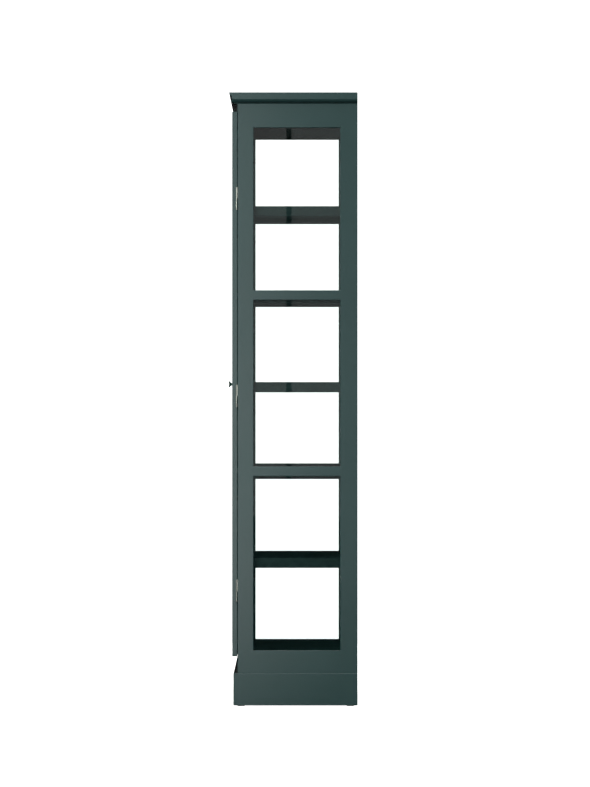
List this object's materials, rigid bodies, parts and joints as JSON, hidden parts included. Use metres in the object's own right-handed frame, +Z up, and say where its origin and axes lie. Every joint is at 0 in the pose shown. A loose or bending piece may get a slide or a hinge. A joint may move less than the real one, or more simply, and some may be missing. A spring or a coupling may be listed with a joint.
{
  "type": "display cabinet",
  "caption": "Tall painted display cabinet with glazed sides and glazed double doors on butt hinges, fixed and loose shelves, a sloped crown and a plinth.",
  "frame": {"origin": "centre of the bounding box in plan, on the floor under the glides", "axes": "+X to the right-hand side seen from the front, -Y out of the doors, +Z up"},
  "size_m": [0.86, 0.4238, 1.99],
  "materials": {
    "paint": "satin blue-green lacquer on board and wood",
    "glass": "clear float glass",
    "nickel": "satin nickel plate",
    "steel": "zinc-plated steel",
    "magnet": "plated magnet",
    "clip_plastic": "moulded black plastic",
    "glide_plastic": "moulded dark plastic"
  },
  "bodies": {
    "carcass": {"back_panel": "paint", "bottom_front_rail": "paint", "bottom_panel": "paint", "crown_bed_mouldings": "paint", "crown_front_fascia": "paint", "crown_top_board": "paint", "fascia_glue_blocks": "paint", "floor_glides": "glide_plastic", "frame_hinge_leaves": "nickel", "front_header": "paint", "hinge_pins": "steel", "left_plinth_side_board": "paint", "left_side_bottom_rail": "paint", "left_side_front_stile": "paint", "left_side_glass": "glass", "left_side_mid_rails": "paint", "left_side_rear_stile": "paint", "left_side_top_rail": "paint", "lower_fixed_shelf": "paint", "lower_shelf": "paint", "magnetic_catches": "magnet", "middle_shelf": "paint", "plinth_front_board": "paint", "plinth_front_fascia": "paint", "plinth_rear_board": "paint", "right_plinth_side_board": "paint", "right_side_bottom_rail": "paint", "right_side_front_stile": "paint", "right_side_glass": "glass", "right_side_mid_rails": "paint", "right_side_rear_stile": "paint", "right_side_top_rail": "paint", "shelf_pins": "steel", "side_glass_clips": "clip_plastic", "top_panel": "paint", "upper_fixed_shelf": "paint", "upper_shelf": "paint", "wall_rail": "paint"},
    "right_door": {"right_door_bottom_rail": "paint", "right_door_glass": "glass", "right_door_glass_clips": "clip_plastic", "right_door_hinge_leaves": "nickel", "right_door_hinge_stile": "paint", "right_door_meeting_stile": "paint", "right_door_mid_rails": "paint", "right_door_strike_plate": "steel", "right_door_top_rail": "paint", "right_knob": "nickel", "right_knob_screw": "steel"},
    "left_door": {"left_door_bottom_rail": "paint", "left_door_glass": "glass", "left_door_glass_clips": "clip_plastic", "left_door_hinge_leaves": "nickel", "left_door_hinge_stile": "paint", "left_door_meeting_stile": "paint", "left_door_mid_rails": "paint", "left_door_strike_plate": "steel", "left_door_top_rail": "paint", "left_knob": "nickel", "left_knob_screw": "steel"}
  },
  "joints": [
    {"name": "right_door_hinge", "type": "hinge", "parent": "carcass", "child": "right_door", "pos_m": [0.4204, -0.18055, 1.0439], "axis": [0, 0, 1], "range_deg": [0, 180]},
    {"name": "left_door_hinge", "type": "hinge", "parent": "carcass", "child": "left_door", "pos_m": [-0.4204, -0.18055, 1.0439], "axis": [0, 0, -1], "range_deg": [0, 180]}
  ]
}
